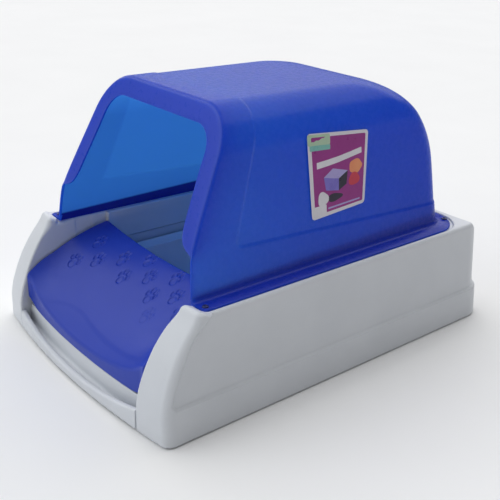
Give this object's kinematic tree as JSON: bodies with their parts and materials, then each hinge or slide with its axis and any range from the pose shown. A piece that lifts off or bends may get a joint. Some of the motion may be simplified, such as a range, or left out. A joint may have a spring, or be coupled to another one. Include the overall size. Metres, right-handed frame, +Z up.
{
  "type": "cat_litter_box_with_hood",
  "caption": "Hooded cat litter box: white double-walled base, translucent blue lift-off hood with a leaning front opening, dished blue entry ramp, lift-out pan and low front drawer.",
  "frame": {"origin": "centre of the overall bounding box at floor level (underside of the rubber feet)", "axes": "+X to the right side seen from the front, +Y from the front (entry ramp) to the back, +Z up"},
  "size_m": [0.4236, 0.6208, 0.366],
  "materials": {
    "white_plastic": "moulded, fine satin grain",
    "pan_plastic": "moulded, smooth",
    "blue_hood_plastic": "translucent, semi-gloss",
    "blue_ramp_plastic": "translucent, satin",
    "label_vinyl": "printed vinyl",
    "stud_plastic": "moulded",
    "foot_rubber": "matte"
  },
  "bodies": {
    "base": {"base_shell": "white_plastic", "hood_stud_front_left": "stud_plastic", "hood_stud_front_right": "stud_plastic", "hood_stud_back_left": "stud_plastic", "hood_stud_back_right": "stud_plastic", "rubber_foot_front_left": "foot_rubber", "rubber_foot_front_right": "foot_rubber", "rubber_foot_back_left": "foot_rubber", "rubber_foot_back_right": "foot_rubber"},
    "pan": {"litter_pan": "pan_plastic"},
    "ramp": {"entry_ramp": "blue_ramp_plastic"},
    "drawer": {"front_drawer": "white_plastic"},
    "hood": {"hood_shell": "blue_hood_plastic", "hood_label": "label_vinyl"}
  },
  "joints": [
    {"name": "drawer_slide", "type": "slide", "parent": "base", "child": "drawer", "axis": [0, -1, 0], "range_m": [0, 0.09]},
    {"name": "pan_lift", "type": "slide", "parent": "base", "child": "pan", "axis": [0, 0, 1], "range_m": [0, 0.3]},
    {"name": "ramp_lift", "type": "slide", "parent": "pan", "child": "ramp", "axis": [0, 0, 1], "range_m": [0, 0.3]},
    {"name": "hood_lift", "type": "slide", "parent": "ramp", "child": "hood", "axis": [0, 0, 1], "range_m": [0, 0.3]}
  ]
}
